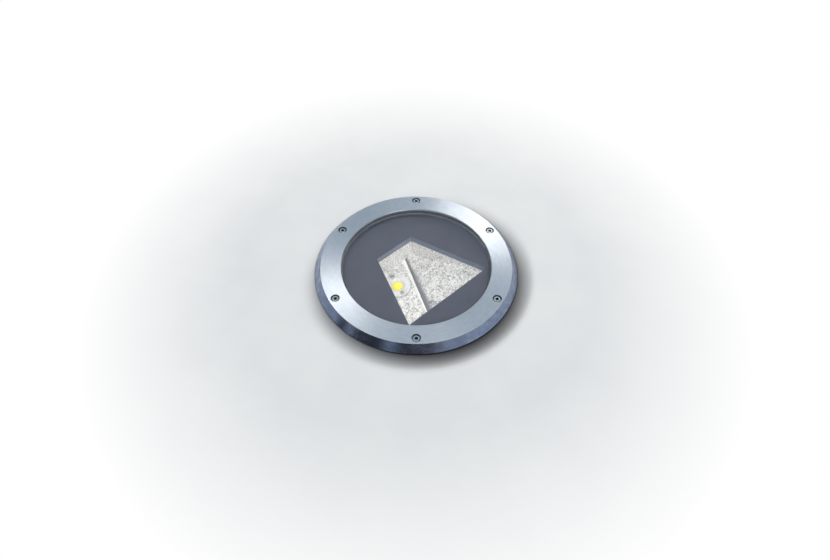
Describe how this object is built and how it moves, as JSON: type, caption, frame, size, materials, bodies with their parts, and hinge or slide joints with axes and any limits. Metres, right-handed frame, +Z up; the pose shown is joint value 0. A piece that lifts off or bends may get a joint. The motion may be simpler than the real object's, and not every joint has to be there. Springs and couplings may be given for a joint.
{
  "type": "in ground well light",
  "caption": "Round buried uplight: bevelled steel trim ring, flush glass, masked hammered reflector with one LED, ribbed cast housing in a moulded sleeve.",
  "frame": {"origin": "centre of the sleeve's base, on the surface it is bedded on; finished ground is at z = 0.150", "axes": "+Z up out of the ground, square to the glass; +X through one conduit socket; the picture looks along +Y"},
  "size_m": [0.256, 0.256, 0.16],
  "materials": {
    "trim_steel": "circular brushed stainless",
    "screw_steel": "machined stainless",
    "zinc_steel": "zinc plated",
    "clear_glass": "polished, ground edge",
    "silicone": "matt",
    "nylon": "moulded",
    "housing_paint": "fine textured powder coat on a casting",
    "mask_paint": "satin blue-grey",
    "hammered_aluminium": "bright hammered",
    "bare_aluminium": "as cast, turned face",
    "board_white": "white solder mask",
    "phosphor": "silicone dome",
    "holder_white": "moulded",
    "thermal_grey": "soft pad",
    "driver_case": "moulded",
    "terminal_plastic": "moulded",
    "brass": "turned",
    "gland_plastic": "moulded nylon",
    "sleeve_plastic": "moulded polypropylene"
  },
  "bodies": {
    "sleeve": {"sleeve_body": "sleeve_plastic", "sleeve_inserts": "brass"},
    "housing": {"housing_body": "housing_paint", "boss_inserts": "screw_steel", "flange_seal": "silicone", "hold_screws": "screw_steel", "turntable_clips": "zinc_steel", "clip_screws": "zinc_steel", "gear_tray": "zinc_steel", "tray_screws": "zinc_steel", "driver": "driver_case", "terminal_block": "terminal_plastic", "terminal_screws": "zinc_steel", "earth_stud": "brass", "gland_bodies": "gland_plastic", "gland_seals": "silicone", "gland_nuts": "gland_plastic", "breather": "gland_plastic"},
    "optic": {"turntable": "zinc_steel", "stop_pin": "zinc_steel", "heat_sink": "bare_aluminium", "thermal_pad": "thermal_grey", "led_board": "board_white", "led_emitter": "phosphor", "led_holder": "holder_white", "holder_screws": "screw_steel", "lamp_reflector": "hammered_aluminium", "main_reflector": "hammered_aluminium", "reflector_surround": "hammered_aluminium", "reflector_bracket": "zinc_steel", "mask_plate": "mask_paint", "mask_standoffs": "zinc_steel"},
    "lid": {"trim_ring": "trim_steel", "cover_glass": "clear_glass", "glass_gasket": "silicone", "trim_screws": "screw_steel", "screw_retainers": "nylon"}
  },
  "joints": [
    {"name": "housing_lift", "type": "slide", "parent": "sleeve", "child": "housing", "axis": [0, 0, 1], "range_m": [0, 0.12]},
    {"name": "lid_lift", "type": "slide", "parent": "housing", "child": "lid", "axis": [0, 0, 1], "range_m": [0, 0.06]},
    {"name": "optic_swivel", "type": "hinge", "parent": "housing", "child": "optic", "pos_m": [0, 0, 0.1], "axis": [0, 0, 1], "range_deg": [-175, 175]}
  ]
}
